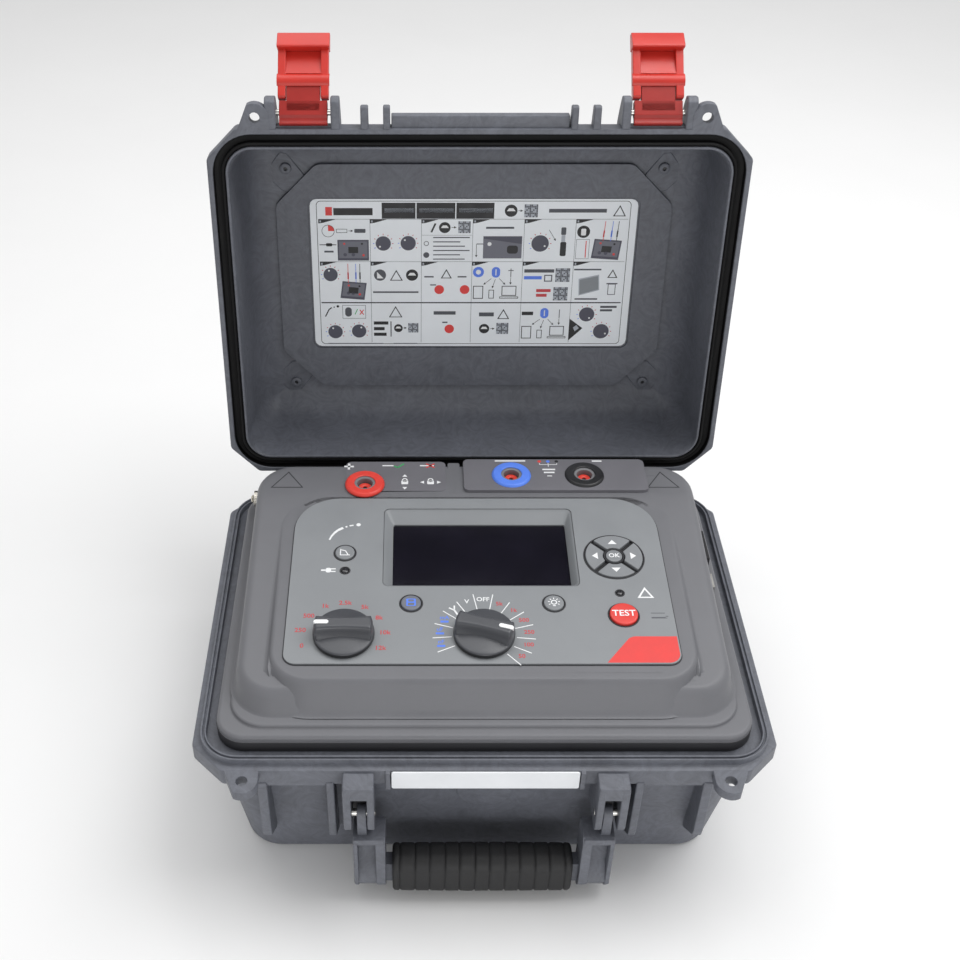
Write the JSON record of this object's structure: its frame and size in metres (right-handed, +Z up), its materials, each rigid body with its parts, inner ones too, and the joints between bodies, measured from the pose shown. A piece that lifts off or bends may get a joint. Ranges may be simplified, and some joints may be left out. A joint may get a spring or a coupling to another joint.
{
  "type": "insulation resistance tester",
  "caption": "Portable high-voltage insulation resistance tester in a grey hinged carry case with an open lid, red latches, rotary switches, keypad, display and coloured terminals",
  "frame": {"origin": "middle of the flat underside of the base shell", "axes": "+X to the right as the user faces the controls, +Y towards the lid hinge, +Z up out of the case"},
  "size_m": [0.36, 0.3948, 0.4389],
  "materials": {
    "case_plastic": "matte, lightly textured",
    "panel_plastic": "matte, fine texture",
    "overlay_film": "satin printed film",
    "black_plastic": "satin",
    "dark_plastic": "matte",
    "black_rubber": "matte",
    "red_plastic": "satin",
    "deep_red_plastic": "satin",
    "blue_plastic": "satin",
    "white_plastic": "satin",
    "label_film": "satin printed film",
    "window_glass": "polished",
    "steel": "satin",
    "circuit_board": "satin",
    "grey_plastic": "satin"
  },
  "bodies": {
    "base": {"base_shell": "case_plastic", "instrument_panel": "panel_plastic", "panel_overlay": "overlay_film", "mains_inlet": "black_plastic", "terminal_collar_black": "black_plastic", "battery_cover": "dark_plastic", "hv_module": "dark_plastic", "lcd_module": "dark_plastic", "switch_body_left": "dark_plastic", "switch_body_right": "dark_plastic", "led_lens_left": "dark_plastic", "led_lens_right": "dark_plastic", "keypad_mat": "black_rubber", "terminal_collar_red": "red_plastic", "terminal_collar_blue": "blue_plastic", "name_plate": "white_plastic", "display_window": "window_glass", "earth_stud": "steel", "handle_pin_left": "steel", "handle_pin_right": "steel", "hinge_pin_left": "steel", "hinge_pin_right": "steel", "usb_socket": "steel", "main_board": "circuit_board", "charger_board": "circuit_board", "battery_pack_left": "grey_plastic", "battery_pack_right": "grey_plastic", "terminal_socket_red": "grey_plastic", "terminal_socket_blue": "grey_plastic", "terminal_socket_black": "grey_plastic"},
    "lid": {"lid_shell": "case_plastic", "lid_seal": "black_rubber", "instruction_label": "label_film", "latch_pin_left": "steel", "latch_pin_right": "steel"},
    "carry_handle": {"handle_frame": "case_plastic", "handle_grip": "black_rubber"},
    "earth_thumb_nut": {"earth_nut": "steel"},
    "latch_link_left": {"latch_link_left": "deep_red_plastic"},
    "latch_lever_left": {"latch_lever_left": "red_plastic"},
    "latch_link_right": {"latch_link_right": "deep_red_plastic"},
    "latch_lever_right": {"latch_lever_right": "red_plastic"},
    "range_knob_left": {"knob_left": "black_plastic", "knob_pointer_left": "white_plastic", "switch_shaft_left": "steel"},
    "range_knob_right": {"knob_right": "black_plastic", "knob_pointer_right": "white_plastic", "switch_shaft_right": "steel"},
    "button_test": {"button_test": "red_plastic"},
    "button_save": {"button_save": "blue_plastic"},
    "button_backlight": {"button_backlight": "grey_plastic"},
    "button_ramp": {"button_ramp": "grey_plastic"},
    "key_ok": {"key_ok": "dark_plastic"},
    "key_up": {"key_up": "grey_plastic"},
    "key_down": {"key_down": "grey_plastic"},
    "key_left": {"key_left": "grey_plastic"},
    "key_right": {"key_right": "grey_plastic"},
    "shutter_red": {"terminal_shutter_red": "red_plastic"},
    "shutter_blue": {"terminal_shutter_blue": "red_plastic"},
    "shutter_black": {"terminal_shutter_black": "red_plastic"}
  },
  "joints": [
    {"name": "lid_hinge", "type": "hinge", "parent": "base", "child": "lid", "pos_m": [0, 0.141, 0.118], "axis": [1, 0, 0], "range_deg": [0, 97.5]},
    {"name": "latch_link_pivot_left", "type": "hinge", "parent": "lid", "child": "latch_link_left", "pos_m": [-0.11515, 0.18052, 0.39521], "axis": [1, 0, 0], "range_deg": [0, 124.5]},
    {"name": "latch_lever_pivot_left", "type": "hinge", "parent": "latch_link_left", "child": "latch_lever_left", "pos_m": [-0.11515, 0.1939, 0.41008], "axis": [1, 0, 0], "range_deg": [-75, 0]},
    {"name": "latch_link_pivot_right", "type": "hinge", "parent": "lid", "child": "latch_link_right", "pos_m": [0.11515, 0.18052, 0.39521], "axis": [1, 0, 0], "range_deg": [0, 124.5]},
    {"name": "latch_lever_pivot_right", "type": "hinge", "parent": "latch_link_right", "child": "latch_lever_right", "pos_m": [0.11515, 0.1939, 0.41008], "axis": [1, 0, 0], "range_deg": [-75, 0]},
    {"name": "handle_pivot", "type": "hinge", "parent": "base", "child": "carry_handle", "pos_m": [0, -0.136, 0.082], "axis": [-1, 0, 0], "range_deg": [0, 90]},
    {"name": "knob_turn_left", "type": "hinge", "parent": "base", "child": "range_knob_left", "pos_m": [-0.0875, -0.0544, 0.15287], "axis": [0, -0.061, 0.9981], "range_deg": [-210, 30]},
    {"name": "knob_turn_right", "type": "hinge", "parent": "base", "child": "range_knob_right", "pos_m": [0.0008, -0.0544, 0.15287], "axis": [0, -0.061, 0.9981], "range_deg": [-21, 211]},
    {"name": "button_test_press", "type": "slide", "parent": "base", "child": "button_test", "axis": [0, 0.061, -0.9981], "range_m": [0, 0.001], "stiffness_N_per_m": 500, "springref_m": -0.0005},
    {"name": "button_save_press", "type": "slide", "parent": "base", "child": "button_save", "axis": [0, 0.061, -0.9981], "range_m": [0, 0.001], "stiffness_N_per_m": 500, "springref_m": -0.0005},
    {"name": "button_backlight_press", "type": "slide", "parent": "base", "child": "button_backlight", "axis": [0, 0.061, -0.9981], "range_m": [0, 0.001], "stiffness_N_per_m": 500, "springref_m": -0.0005},
    {"name": "button_ramp_press", "type": "slide", "parent": "base", "child": "button_ramp", "axis": [0, 0.061, -0.9981], "range_m": [0, 0.001], "stiffness_N_per_m": 500, "springref_m": -0.0005},
    {"name": "key_ok_press", "type": "slide", "parent": "base", "child": "key_ok", "axis": [0, 0.061, -0.9981], "range_m": [0, 0.001], "stiffness_N_per_m": 500, "springref_m": -0.0005},
    {"name": "key_up_press", "type": "slide", "parent": "base", "child": "key_up", "axis": [0, 0.061, -0.9981], "range_m": [0, 0.001], "stiffness_N_per_m": 500, "springref_m": -0.0005},
    {"name": "key_down_press", "type": "slide", "parent": "base", "child": "key_down", "axis": [0, 0.061, -0.9981], "range_m": [0, 0.001], "stiffness_N_per_m": 500, "springref_m": -0.0005},
    {"name": "key_left_press", "type": "slide", "parent": "base", "child": "key_left", "axis": [0, 0.061, -0.9981], "range_m": [0, 0.001], "stiffness_N_per_m": 500, "springref_m": -0.0005},
    {"name": "key_right_press", "type": "slide", "parent": "base", "child": "key_right", "axis": [0, 0.061, -0.9981], "range_m": [0, 0.001], "stiffness_N_per_m": 500, "springref_m": -0.0005},
    {"name": "shutter_press_red", "type": "slide", "parent": "base", "child": "shutter_red", "axis": [0, 0, -1], "range_m": [0, 0.004], "stiffness_N_per_m": 200, "springref_m": -0.001},
    {"name": "shutter_press_blue", "type": "slide", "parent": "base", "child": "shutter_blue", "axis": [0, 0, -1], "range_m": [0, 0.004], "stiffness_N_per_m": 200, "springref_m": -0.001},
    {"name": "shutter_press_black", "type": "slide", "parent": "base", "child": "shutter_black", "axis": [0, 0, -1], "range_m": [0, 0.004], "stiffness_N_per_m": 200, "springref_m": -0.001},
    {"name": "earth_nut_turn", "type": "hinge", "parent": "base", "child": "earth_thumb_nut", "pos_m": [-0.157, 0.094, 0.14], "axis": [1, 0, 0], "continuous": true}
  ]
}
